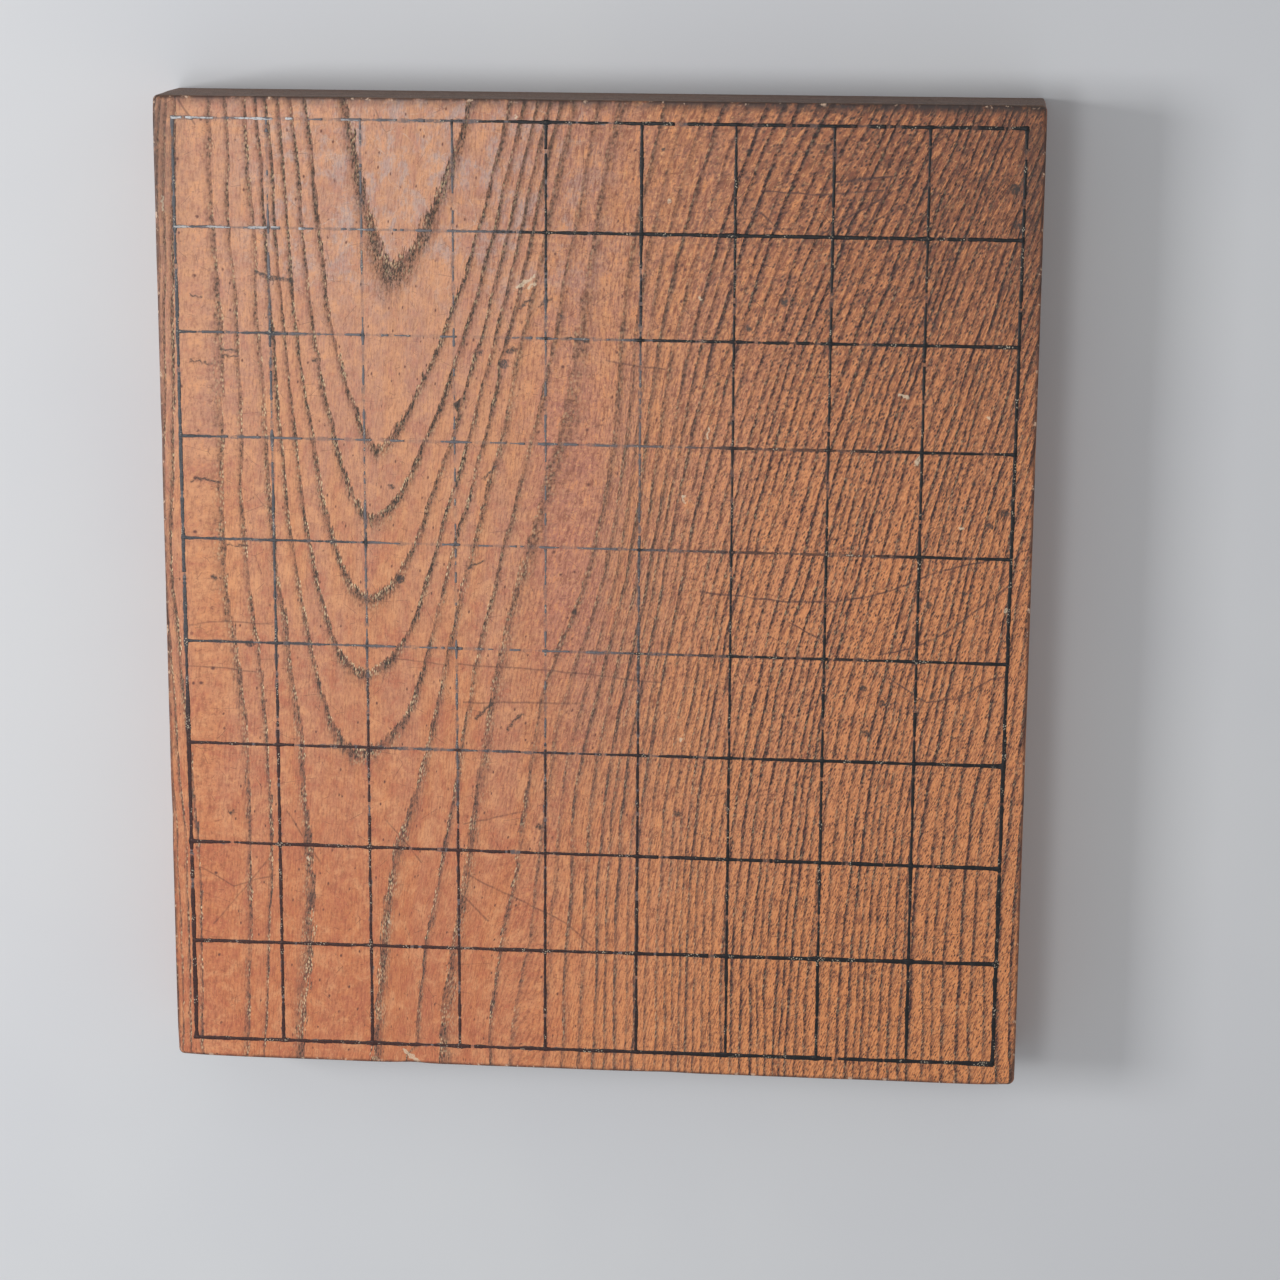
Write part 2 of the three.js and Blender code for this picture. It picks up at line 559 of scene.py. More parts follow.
def section_corners(travel, along, middle, half, floor, top):
    """The corners of a stroke's cross-sections, as an array by section, corner and axis."""
    angles = np.linspace(-1, 1, bead_points) * math.pi / 2
    aside = middle[:, None] + half[:, None] * np.sin(angles)
    level = floor[:, None] + (top - floor)[:, None] * np.cos(angles) ** bead_roundness
    level[:, [0, -1]] = floor[:, None] - bead_sink
    onward = np.repeat(along[:, None], bead_points, axis=1)
    return np.stack([onward, aside, level] if travel == 0 else [aside, onward, level], axis=2)


def stroke_sections(seed, stroke, travel, crossed):
    """A stroke's cross-sections: their corners, how deep the lacquer looks and where its ranks get a painted
    highlight, and its cover.
    """
    start, end, width = stroke
    is_rank = travel == 0
    count = round((end[travel] - start[travel]) / bead_step)
    along = np.linspace(start[travel], end[travel], count + 1)
    middle = middle_of(stroke, travel, along) + mm * stroke_waves(seed, along, course_waves)
    x, y = (along, middle) if is_rank else (middle, along)
    crossings = np.array([middle_of(other, 1 - travel, np.mean(middle)) for other in crossed])
    near = np.abs(along - crossings[:, None]).min(axis=0)
    uneven = smooth(usual_blob_share + stroke_waves(seed, along, crossing_wave_shares))
    blob = hill(near, crossing_blob) * uneven

    strength = line_strength(x, y) - is_rank * rubbed_at(rank_rubbed_shares, x, y)
    kept = strength + crossing_kept_share * hill(near, crossing_reach)
    cover = (kept + stroke_waves(seed, along, cover_wave_shares) - bare_share) / bead_taper_share
    full = smooth(cover)
    thick = smooth((strength + crossing_depth_share * blob - thin_left_share) / thin_fade_share)
    depth = full * from_least(thin_depth_share, thick)
    # Where the ranks get pale streaks of painted highlight, towards the far left corner.
    leftward = smooth((highlight_start[0] - x) / highlight_fade[0])
    rank_highlight = is_rank * leftward * smooth((y - highlight_start[1]) / highlight_fade[1])

    pressed = sum(gain * smooth((strength - least) / over) for least, over, gain in pressed_shares)
    pressed = pressed + (rank_gain_share * smooth(x / rank_gain_reach) if is_rank else -file_loss_share)
    spread = width * (usual_width_share + pressed + stroke_waves(seed, along, width_wave_shares))
    half = (spread + blob_share * width * blob) / 2 * from_least(end_width_share, full)
    height = bead_height * (usual_height_share + stroke_waves(seed, along, height_wave_shares))
    height = np.clip(height * from_least(end_height_share, full), bead_least, bead_height)
    floor = plank_top - sag_at(x, y)
    climb = is_rank * climb_share * bead_height * smooth(1 - (near - climb_reach) / climb_fade)
    top = np.minimum(floor + height + climb, plank_top + highest_share * bead_height)
    corners = section_corners(travel, along, middle, half, floor, top)
    return corners, np.stack([depth, rank_highlight, 0 * depth], axis=1), cover


def bead_runs(cover):
    """The first and last section of each stretch of a stroke where there is lacquer."""
    bounded = np.concatenate([[False], cover > 0, [False]]).astype(int)
    edges = np.flatnonzero(np.diff(bounded)).reshape(-1, 2).tolist()
    return [(low, high - 1) for low, high in edges if high - low >= fewest_sections]


def bead_faces(base, low, high, count):
    """The faces of a bead between two sections, with their corners' places in the stroke's picture."""
    sides = range(bead_points)
    for section in range(low, high):
        row = picture_rows * section // count
        here = base + (section - low) * bead_points
        passed = [picture_rows * end / count - row for end in (section, section + 1)]
        first, second = (row_shares[0] + row_shares[1] * place for place in passed)
        for side in sides:
            beside = (side + 1) % bead_points
            edges = [lane_shares[0] + lane_shares[1] * edge / bead_points for edge in (side, side + 1)]
            lower, upper = ((row + edge) / picture_rows for edge in edges)
            quad = [here + side, here + beside, here + bead_points + beside, here + bead_points + side]
            yield quad, [(first, lower), (first, upper), (second, upper), (second, lower)]
    last = base + (high - low) * bead_points
    spots = [(cap_shares[0] + cap_shares[1] * side / bead_points, cap_shares[2]) for side in sides]
    yield [base + side for side in reversed(sides)], spots
    yield [last + side for side in sides], spots


def stroke_mesh(name, index, stroke, travel, crossed):
    """One drawn stroke as beads of lacquer, with the gaps where play has rubbed it off."""
    seed = first_stroke_seed + stroke_seed_step * index + travel
    corners, wear_and_highlight, cover = stroke_sections(seed, stroke, travel, crossed)
    kept = []
    faces = []
    spots = []
    turn = 1 if travel == 0 else -1
    for low, high in bead_runs(cover):
        for face, places in bead_faces(len(kept) * bead_points, low, high, len(cover)):
            faces.append(face[::turn])
            spots.extend(places[::turn])
        kept.extend(range(low, high + 1))
    mesh = dressed_mesh(name, corners[kept].reshape(-1, 3), faces, np.array(spots))
    add_measure(mesh, "wear_and_highlight", np.repeat(wear_and_highlight[kept], bead_points, axis=0))
    return mesh


# Materials.


class Graph:
    """Writes a node tree. Each call adds nodes and gives back the last one's socket. A colour is a socket, or
    red, green and blue as they look on a screen."""

    def __init__(self, owner):
        owner.use_nodes = True
        self.owner = owner
        self.tree = owner.node_tree
        self.tree.nodes.clear()

    def node(self, kind, sources, output=0, **settings):
        made = self.tree.nodes.new(kind)
        for name, value in settings.items():
            setattr(made, name, value)
        for socket, source in sources.items():
            if isinstance(source, bpy.types.NodeSocket):
                self.tree.links.new(source, made.inputs[socket])
            else:
                made.inputs[socket].default_value = source
        return made.outputs[output]

    def end(self, kind, shader):
        """Ends the tree in its output node."""
        self.tree.links.new(shader, self.tree.nodes.new(kind).inputs[0])
        return self.owner

    def math(self, operation, *values):
        return self.node("ShaderNodeMath", dict(enumerate(values)), operation=operation)

    def vector(self, operation, *values, scale=None):
        single = operation in ("DOT_PRODUCT", "DISTANCE", "LENGTH")
        sources = dict(enumerate(values))
        if scale is not None:
            sources["Scale"] = scale
        return self.node("ShaderNodeVectorMath", sources, output=int(single), operation=operation)

    def joined(self, operation, values):
        """Joins all the values by one operation."""
        result = values[0]
        for value in values[1:]:
            result = self.math(operation, result, value)
        return result

    def product(self, *values):
        return self.joined("MULTIPLY", values)

    def total(self, *values):
        return self.joined("ADD", values)

    def largest(self, *values):
        return self.joined("MAXIMUM", values)

    def parts(self, vector):
        return self.node("ShaderNodeSeparateXYZ", {0: vector}).node.outputs[:]

    def attribute(self, name):
        return self.node("ShaderNodeAttribute", {}, output=1, attribute_name=name)

    def remap(self, value, low, high, to_low=0.0, to_high=1.0, kind="SMOOTHSTEP"):
        """Goes softly from one value to another while the given value goes from low to high."""
        sources = {"Value": value, "From Min": low, "From Max": high, "To Min": to_low, "To Max": to_high}
        return self.node("ShaderNodeMapRange", sources, interpolation_type=kind)

    def sized(self, vector, across, along):
        """Makes one unit of the flat vector as long as the two sizes."""
        return self.vector("DIVIDE", vector, (across, along, 1))

    def noise(self, vector, across, along, detail=2.0, roughness=0.5, output=0):
        """Noise from 0 to 1, in spots of that size. Its second output strays in every direction."""
        spots = self.sized(vector, across, along)
        sources = {"Vector": spots, "Scale": 1.0, "Detail": detail, "Roughness": roughness}
        return self.node("ShaderNodeTexNoise", sources, output, noise_dimensions="2D")

    def wobbled(self, vector, spots, size, reach):
        """A flat vector that strays in every direction, in spots of that size."""
        stray = self.vector("SUBTRACT", self.noise(spots, size, size, output=1), (0.5, 0.5, 0.5))
        stray = self.vector("MULTIPLY", stray, (1, 1, 0))
        return self.vector("ADD", vector, self.vector("SCALE", stray, scale=reach))

    def cells(self, vector, across, along, **settings):
        sources = {"Vector": self.sized(vector, across, along), "Scale": 1.0}
        return self.node("ShaderNodeTexVoronoi", sources, voronoi_dimensions="2D", **settings)

    def dots(self, vector, across, along, low, high):
        """1 in scattered dots and 0 outside. Low and high are their inner and outer radius."""
        return self.remap(self.cells(vector, across, along), high, low)

    def seams(self, vector, across, along, width):
        """1 on the thin seams between scattered cells, and 0 elsewhere."""
        return self.remap(self.cells(vector, across, along, feature="DISTANCE_TO_EDGE"), width, 0.0)

    def mix(self, share, first, second):
        """One colour with a share of another over it."""
        first, second = (srgb(*colour) if isinstance(colour, tuple) else colour for colour in (first, second))
        return self.node("ShaderNodeMix", {0: share, 6: first, 7: second}, output=2, data_type="RGBA")

    def profile(self, value, *stops):
        """A value that goes straight from stop to stop, each a place and a value."""
        made = self.node("ShaderNodeValToRGB", {0: value})
        elements = made.node.color_ramp.elements
        while len(elements) < len(stops):
            elements.new(0.5)
        for element, (place, level) in zip(elements, stops):
            element.position = place
            element.color = (level, level, level, 1)
        return made

    def surface(self, colour, roughness, **more):
        """The finished material."""
        sources = {"Base Color": colour, "Roughness": roughness, **more}
        return self.end("ShaderNodeOutputMaterial", self.node("ShaderNodeBsdfPrincipled", sources))

    def bump(self, height):
        """A normal that follows a small height in millimetres."""
        return self.node("ShaderNodeBump", {"Height": height, "Distance": mm, "Strength": 1.0})


class Coats(Graph):
    """A material that is built up in coats of colour, by zones of the board."""

    def __init__(self, name):
        super().__init__(bpy.data.materials.new(name))
        place = self.node("ShaderNodeTexCoord", {}, output=3)
        self.place = self.vector("MULTIPLY", place, (1 / mm, 1 / mm, 1 / mm))
        self.x, self.y, self.z = self.parts(self.place)
        self.colour = None

    def coat(self, colour, *shares):
        """Lays a colour over what is there, as much as the product of the shares."""
        self.colour = self.mix(self.product(*shares), self.colour, colour)

    def across(self, *values):
        """Goes softly from value to value between two places across the board."""
        return self.remap(self.x, *values)

    def along(self, *values):
        """Goes softly from value to value between two places along the board."""
        return self.remap(self.y, *values)


# Farther than any mark, in millimetres.
farthest_mark = 1000.0


def mark_cover(graph, place, marks, softness):
    """1 on marks and 0 elsewhere. Each gap is compared at once, so that few wait at a time."""
    nearest = farthest_mark
    for half, *points in marks:
        for start, end in zip(points, points[1:] or points):
            foot = (*start, 0)
            if end != start:
                heading = np.subtract(end, start)
                length = float(np.linalg.norm(heading))
                unit = heading / length
                offset = float(unit @ start)
                passed = graph.vector("DOT_PRODUCT", place, (*unit, 0))
                held = graph.remap(passed, offset, offset + length, 0.0, length, "LINEAR")
                foot = graph.vector("ADD", graph.vector("SCALE", (*unit, 0), scale=held), foot)
            gap = graph.math("SUBTRACT", graph.vector("DISTANCE", place, foot), half)
            nearest = graph.math("MINIMUM", nearest, gap)
    return graph.remap(nearest, softness, -softness)


# Over how much of a cell the stains of the lines fade out into the margins.
margin_fade_share = 0.03


def line_gap(graph, number, cell):
    """How far a line number is from the nearest drawn line, in millimetres."""
    offset = graph.math("SUBTRACT", graph.math("FRACT", graph.total(number, 0.5)), 0.5)
    return graph.product(graph.math("ABSOLUTE", offset), float(cell / mm))


def within_lines(graph, number):
    """1 between the first and the last line, and 0 in the margins."""
    last = float(line_count - 1)
    from_first = graph.remap(number, -margin_fade_share, 0.0)
    return graph.product(from_first, graph.remap(number, last + margin_fade_share, last))


# Marks on the playing face, in millimetres: half the width, and then the points that each passes.

scratches = [
    (0.32, (41, 5), (75, 2), (92, 2.5), (106, 5), (117, 9), (131, 15), (150, 20)),
    (0.29, (109, -18), (122, -15), (135, -8), (150, 4), (158, 11)),
    (0.29, (112, -26), (128, -36), (140, -34), (152, -26), (158, -25)), (0.27, (75, -6), (88, -13)),
    (0.29, (62, 157), (85, 156), (108, 158)), (0.42, (89, 178), (89, 160.5), (110, 163), (103, 147)),
    (0.32, (111, 158), (84, 141)), (0.29, (112, 152), (93, 139)), (0.32, (62, 149), (70, 142)),
    (0.37, (123, 115), (128, 107)), (0.27, (-160, -29), (-131, -31)),
    (0.29, (-157, -13), (-142, -11), (-125, -12)), (0.25, (-80, -24), (-58, -26)),
    (0.32, (-52, -26), (-20, -27), (26, -31)), (0.37, (-50, -41), (-5, -40)),
    (0.27, (-50, -90), (-27, -84)), (0.35, (-52, -118), (-41, -129)),
    (0.32, (-50, -110), (-10, -129), (0, -138)), (0.32, (5, 93), (16, 91), (27, 90)),
    (0.27, (-155, -111), (-142, -118), (-125, -113)), (0.27, (-150, -134), (-128, -107)),
    (0.29, (-120, -87), (-107, -108)), (0.29, (-81, -89), (-67, -106)), (0.37, (-156, 188), (-150, 179)),
    (0.27, (-82, 185), (-79, 179)),
]

dark_marks = [
    (0.7, (-128, 124), (-123, 122), (-114, 121)), (0.4, (-142, 94.5), (-136, 94)),
    (0.4, (-142, 92), (-136, 92)), (0.35, (-154, 90), (-146, 89)),
    (0.5, (-155, 43.5), (-150, 44.5), (-144, 43)), (0.35, (-141, 19), (-133, 18.5)),
    (0.4, (-153, 115), (-149, 114)), (0.5, (-33, -52), (-31, -48), (-27, -45)),
    (0.7, (-45, -47), (-39, -41)), (0.5, (-28, 112), (-24, 116)), (0.5, (-21, 113), (-16, 116)),
    (0.5, (-10, 101), (-2, 100)), (0.45, (-42, 47), (-37, 52)), (0.6, (-48, 12), (-42, 15)),
    (2, (-34, 91)), (1.5, (-31.5, 96)), (1.1, (-43, 95)), (1.5, (-52, 75)), (1, (-12, 109)),
    (1.2, (-106, 91)), (1.7, (-133, -20)), (1.2, (-147, 6)), (1.3, (-77, 43)), (1.5, (-74, 7)),
    (2, (155, 159)), (1.5, (156, 146)), (1.5, (71, 116)), (1.2, (58, 106)), (1.1, (57, 171)),
    (0.8, (26, 172)), (1.1, (128, 2)), (0.9, (141, 7)), (1.6, (155, 38)), (1.1, (150, 33)),
    (1, (143, 49)), (1.2, (111, -37)), (1.2, (104, -31)), (1.3, (105, -49)), (1.3, (130, -33)),
    (0.9, (95, -10)), (1.1, (-142, -88)), (1.2, (-21, -90)), (1, (-7, -4)), (1.1, (33, -83)),
]

pale_marks = [
    (0.55, (-28.5, 120), (-22.5, 124)), (0.35, (-25, 119.5), (-22, 121.5)), (0.35, (43, 64), (43.5, 68)),
    (0.45, (34.5, 39.5), (34.5, 42)), (0.6, (115, 82), (117.5, 81.5)), (0.7, (121.5, 56), (123.5, 60)),
    (0.6, (-75, -184), (-68, -190)), (0.4, (-163, 152), (-163, 147)), (0.7, (28, 153)), (0.6, (40, 117)),
    (0.8, (34.5, -53.5)), (0.7, (148, 74)), (0.8, (139, 32)), (0.9, (157, 0.5)), (0.7, (89, 20)),
    (0.8, (-112, -106)), (0.6, (-80, -131)), (0.7, (-29, 183)),
]


class Wood(Coats):
    """The wood's coats, with the places and patterns that they share."""

    def __init__(self):
        super().__init__("old_wood")
        slanted = {0: self.total(self.x, self.z), 1: self.math("SUBTRACT", self.y, self.z)}
        self.spot = self.node("ShaderNodeCombineXYZ", slanted)
        self.flat_place = self.vector("MULTIPLY", self.place, (1, 1, 0))
        self.fibre = self.attribute("fibre")
        self.file_number, self.rank_number, self.strength = self.parts(self.attribute("grid"))
        _, normal_y, normal_z = self.parts(self.node("ShaderNodeNewGeometry", {}, output=3))
        self.end_grain = self.remap(self.math("ABSOLUTE", normal_y), 0.5, 0.9)
        self.on_face = self.remap(normal_z, 0.3, 0.8)
        self.band, self.outward, self.boldness = self.bands()
        self.mottle = self.noise(self.fibre, 3, 7, 4, 0.65)
        self.vein = self.noise(self.fibre, 0.65, 6, 4, 0.72)
        self.grit = self.noise(self.fibre, 0.7, 1.5, 3, 0.75)
        self.flat_fibre = self.wobbled(self.fibre, self.fibre, 22, 14)

    def bands(self):
        """The rings' dark porous bands: their strength, how many band widths outward a place lies, and how
        bold its ring is."""
        number, spacing, width = self.parts(self.attribute("grain"))
        stray = self.math("SUBTRACT", self.noise(self.fibre, 1.9, 8, 3, 0.65), 0.5)
        stray = self.product(stray, self.total(self.product(spacing, 0.08), 0.7))
        streak = self.math("SUBTRACT", self.noise(self.fibre, 0.8, 7, 2, 0.6), 0.5)
        wide_streak = self.remap(spacing, 5, 14, 0.3, 2.6)
        streak = self.product(streak, self.total(wide_streak, self.remap(spacing, 16, 45, 0, 5)))
        stray = self.total(stray, streak)
        strayed = self.total(number, self.math("DIVIDE", stray, spacing))
        phase = self.math("FRACT", strayed)
        ring = self.math("FLOOR", strayed)
        outward = self.math("DIVIDE", self.product(phase, spacing), width)
        chance = self.node("ShaderNodeTexWhiteNoise", {"W": ring}, noise_dimensions="1D")
        arches = self.remap(number, 7.5, 5.5)
        close = self.remap(spacing, 9, 5)
        usual = self.remap(chance, 0, 1, 0.35, 0.85)
        boldness = self.largest(usual, arches, self.product(close, self.remap(chance, 0, 1, 0.55, 1.1)))
        across_band = self.profile(self.product(outward, band_profile_scale), *band_profile_shares)
        patches = self.noise(self.fibre, 3, 22, 3, 0.6)
        strength = self.product(across_band, boldness, self.remap(patches, 0.3, 0.6, 0.45, 1.2))
        return strength, outward, boldness


# How strong a band is across it: the place, four band widths being 1, and the strength there.
band_profile_scale = 0.25
band_profile_shares = [(0, 0.1), (0.03, 0.65), (0.08, 1), (0.19, 0.95), (0.29, 0.45), (0.42, 0.12), (0.7, 0)]


def lay_ground(wood):
    """The clear wood between the bands, paler and greyer towards the far left, partly bleached wood and partly
    painted sheen, with a grey bloom near the far end.
    """
    broad = wood.remap(wood.noise(wood.fibre, 13, 110, 2, 0.6), 0.35, 0.65)
    wood.colour = wood.mix(broad, (204, 138, 96), (190, 132, 104))
    bloom = wood.remap(wood.noise(wood.fibre, 7, 13, 4, 0.7), 0.46, 0.63)
    bloom_zone = wood.product(wood.across(30, -30), wood.across(-145, -115), wood.along(95, 140))
    # Painted sheen: paler and greyer towards the far left, partly bleached wood and partly a painted reflection
    # of a broad light.
    wood.coat((192, 148, 124), wood.along(0, 170), wood.across(0, -80), 0.55)
    wood.coat((180, 164, 160), bloom, bloom_zone, 0.62)
    scuffs = wood.seams(wood.flat_fibre, 11, 8, 0.022)
    wood.coat((212, 196, 184), scuffs, bloom_zone, wood.remap(wood.mottle, 0.42, 0.58), 0.5)
    wood.coat((226, 172, 130), wood.remap(wood.mottle, 0.5, 0.74, 0, 0.35))
    wood.coat((176, 104, 76), wood.remap(wood.mottle, 0.48, 0.28, 0, 0.45))


def lay_tones(wood):
    """The clear wood's tones, zone by zone. Gives back how dark the far right gets, which is partly a darker
    tone of the wood and partly painted shade.
    """
    wood.coat((194, 112, 74), wood.along(40, -170, 0, 0.7), wood.across(60, -60))
    clouds = wood.noise(wood.flat_fibre, 8, 10, 6, 0.74)
    cloudy = wood.across(60, -20, 0.35, 1)
    cloud_red = wood.mix(wood.along(140, -40), (182, 120, 98), (178, 96, 72))
    wood.coat((228, 164, 118), wood.remap(clouds, 0.49, 0.66, 0, 0.5), cloudy)
    wood.coat(cloud_red, wood.remap(clouds, 0.49, 0.34, 0, 0.5), cloudy)
    off_middle = wood.math("ABSOLUTE", wood.total(wood.x, 10))
    pink = wood.product(wood.remap(off_middle, 20, 6), wood.along(-60, 0))
    wood.coat((180, 112, 102), pink, wood.along(110, 60), 0.45)
    wood.coat((218, 140, 88), wood.across(-20, 110, 0, 0.8))
    wood.coat((222, 142, 86), wood.along(-60, -180), wood.across(-60, 30), 0.55)
    middle = wood.remap(wood.math("ABSOLUTE", wood.x), 45, 10)
    wood.coat((160, 106, 86), middle, wood.along(-120, -60), wood.along(90, 40), 0.25)
    # Painted shade: darker towards the far right corner, partly the wood's own tone and partly shade where the
    # light falls off.
    far_tone_and_shade = wood.product(wood.along(10, 185, 0, 0.64), wood.across(-90, 150))
    wood.coat((112, 66, 50), far_tone_and_shade)
    soot = wood.noise(wood.fibre, 2, 5, 4, 0.7)
    soot_zone = wood.product(wood.across(0, 130), wood.along(0, 160, 0.25, 1))
    wood.coat((62, 38, 33), wood.remap(soot, 0.5, 0.6), soot_zone, 0.85)
    return far_tone_and_shade


def lay_fibres(wood, far_tone_and_shade):
    """Fine fibres, the flecks between them, and small pores."""
    rightward = wood.across(-70, 40, 0.45, 1)
    wood.coat((134, 76, 54), wood.remap(wood.vein, 0.5, 0.64, 0, 0.85), rightward)
    wood.coat((232, 154, 98), wood.remap(wood.vein, 0.47, 0.34, 0, 0.6), rightward)
    bright_grit = wood.remap(wood.grit, 0.56, 0.72, 0, 0.7)
    wood.coat((230, 172, 118), bright_grit, wood.remap(far_tone_and_shade, 0.1, 0.6, 1, 0.7), rightward)
    wood.coat((124, 76, 52), wood.remap(wood.grit, 0.44, 0.3, 0, 0.8), rightward)
    ticks = wood.product(wood.dots(wood.fibre, 1, 2.4, 0.06, 0.34), wood.across(-10, 110, 0.15, 1))
    wood.coat((52, 32, 28), ticks, wood.remap(wood.mottle, 0.6, 0.46))
    rare_pores = wood.dots(wood.fibre, 5, 11, 0.02, 0.09)
    wood.coat((104, 62, 50), rare_pores, wood.remap(wood.mottle, 0.46, 0.56))


def lay_bands(wood):
    """The bands: a soft shade, and dark pores in it. Gives back how dark they get."""
    pores = wood.dots(wood.fibre, 0.8, 2.4, 0.1, 0.6)
    halo_depth = wood.total(wood.across(40, -100, 0.3, 0.5), wood.along(60, 180, 0, 0.25))
    wood.coat((142, 84, 62), wood.remap(wood.outward, 2.6, 0.4), wood.boldness, halo_depth)
    near_left = wood.product(wood.along(10, -90), wood.across(0, -60))
    shade_depth = wood.total(wood.across(0, 70, 0.72, 0.95), wood.product(near_left, 0.2))
    shade_breaks = wood.remap(wood.vein, 0.36, 0.6, 0.6, 1.1)
    left_shade = wood.mix(wood.along(60, -100), (108, 78, 58), (94, 70, 64))
    far_right = wood.product(wood.along(20, 180), wood.across(-20, 140))
    right_shade = wood.mix(far_right, (84, 48, 42), (50, 29, 26))
    shade_colour = wood.mix(wood.across(0, 70), left_shade, right_shade)
    wood.coat(shade_colour, wood.math("MINIMUM", wood.product(wood.band, shade_depth, shade_breaks), 1))
    pore_cover = wood.total(wood.product(pores, 0.75), wood.remap(wood.grit, 0.56, 0.38, -0.25, 0.75))
    pore_depth = wood.across(20, 90, 1.15, 1.45)
    darkness = wood.product(wood.band, wood.largest(pore_cover, 0), pore_depth)
    darkness = wood.math("MINIMUM", darkness, 0.97)
    off_middle = wood.math("ABSOLUTE", wood.math("SUBTRACT", wood.x, 5))
    darkness = wood.product(darkness, wood.remap(off_middle, 20, 60, 0.7, 1))
    darkness = wood.product(darkness, wood.across(-150, -50, 0.85, 1))
    wood.coat(wood.mix(wood.across(-90, 80), (48, 42, 36), (36, 21, 20)), darkness)
    return darkness


def lay_dust(wood):
    """Dust and old wax in the pores of the bands. Gives back how much there is."""
    speck = wood.dots(wood.fibre, 0.62, 1.9, 0.12, 0.45)
    speck_patch = wood.remap(wood.noise(wood.spot, 5, 9, 4, 0.65), 0.42, 0.6)
    fringe = wood.product(wood.remap(wood.outward, 0.9, 0.15, 0.4, 1), wood.remap(wood.outward, 2.2, 1.2))
    in_band = wood.product(fringe, wood.remap(wood.boldness, 0.3, 0.8, 0.4, 1))
    dusty = wood.product(wood.along(190, -20, 0.55, 1), wood.across(-60, -10, 1, 0.42))
    dust = wood.product(speck, speck_patch, in_band, dusty, wood.remap(wood.on_face, 0, 1, 0.25, 1))
    wood.coat((236, 206, 164), dust)
    return dust


def lay_line_stains(wood):
    """The stain that a rubbed line leaves."""
    stray = wood.product(wood.math("SUBTRACT", wood.noise(wood.spot, 5, 5, 4, 0.6), 0.5), 2)
    file_gap = wood.total(line_gap(wood, wood.file_number, cell_width), stray)
    rank_gap = wood.total(line_gap(wood, wood.rank_number, cell_length), stray)
    file_stain = wood.product(wood.remap(file_gap, 0.8, 0.3), within_lines(wood, wood.rank_number))
    rank_stain = wood.product(wood.remap(rank_gap, 0.8, 0.3), within_lines(wood, wood.file_number))
    stain_patch = wood.noise(wood.spot, 3, 3, 4, 0.75)
    stain = wood.product(
        wood.largest(file_stain, rank_stain),
        wood.on_face,
        wood.remap(stain_patch, 0.32, 0.6, 0.25, 0.95),
        wood.remap(wood.strength, 0.15, 0.5, 0.25, 1),
    )
    wood.coat(wood.mix(wood.across(0, 70), (88, 82, 84), (74, 56, 52)), stain)


def lay_scratches(wood):
    """Scratches: two thin nets of random ones, and the long ones."""
    bent = wood.wobbled(wood.flat_place, wood.spot, 9, 1.2)
    net = wood.seams(wood.flat_place, 21, 15, 0.011)
    net_patch = wood.remap(wood.noise(wood.spot, 6, 6, 3, 0.6), 0.5, 0.62)
    second_net = wood.seams(wood.flat_place, 9, 13, 0.014)
    second_patch = wood.remap(wood.noise(wood.spot, 4, 5, 2, 0.6), 0.56, 0.64)
    broken = wood.remap(wood.mottle, 0.36, 0.56, 0.55, 1)
    scratch = wood.largest(
        wood.product(net, net_patch),
        wood.product(second_net, second_patch),
        wood.product(mark_cover(wood, bent, scratches, 0.3), broken),
    )
    scratch = wood.product(scratch, wood.on_face, wood.across(0, 60, 0.6, 1))
    wood.coat((70, 43, 40), scratch, 0.9)


def lay_marks(wood):
    """Dark dirt in dents and bruises, and pale chips."""
    ragged = wood.wobbled(wood.flat_place, wood.spot, 2, 2.4)
    dirt = mark_cover(wood, ragged, dark_marks, 0.45)
    dirt = wood.product(dirt, wood.remap(wood.grit, 0.36, 0.52, 0.3, 1), wood.on_face)
    wood.coat((46, 40, 38), dirt, 0.9)
    pale = mark_cover(wood, ragged, pale_marks, 0.2)
    pale = wood.product(pale, wood.remap(wood.grit, 0.34, 0.5, 0.4, 1), wood.on_face)
    wood.coat((216, 194, 166), pale, 0.8)


def lay_edges(wood):
    """The arrises, darkened and rubbed by hands, and the far right corner and the far edge made darker, partly
    grime and partly painted shade.
    """
    side_gap = wood.math("SUBTRACT", float(half_width / mm), wood.math("ABSOLUTE", wood.x))
    end_gap = wood.math("SUBTRACT", float(half_length / mm), wood.math("ABSOLUTE", wood.y))
    arris = wood.remap(wood.math("MINIMUM", side_gap, end_gap), 1.7, 0.4)
    arris_patch = wood.remap(wood.noise(wood.spot, 5, 6, 4, 0.7), 0.3, 0.55, 0.35, 1)
    wood.coat((66, 40, 34), arris, arris_patch, wood.on_face, 0.8)
    # Painted shade with grime: the face darker near the far ends of the sides and along the far edge, the edge
    # more towards the right.
    corner = wood.product(wood.remap(side_gap, 16, 0), wood.along(90, 180), 0.55)
    far_edge_grime_and_shade = wood.product(wood.remap(end_gap, 5, 0.8), wood.across(-60, 110, 0.5, 1), wood.along(0, 10))
    wood.coat((48, 34, 30), wood.largest(corner, far_edge_grime_and_shade), arris_patch, wood.on_face)
    rubbed = wood.remap(wood.noise(wood.spot, 3.4, 4, 3, 0.65), 0.62, 0.7)
    wood.coat((214, 182, 156), arris, rubbed, wood.on_face, 0.8)


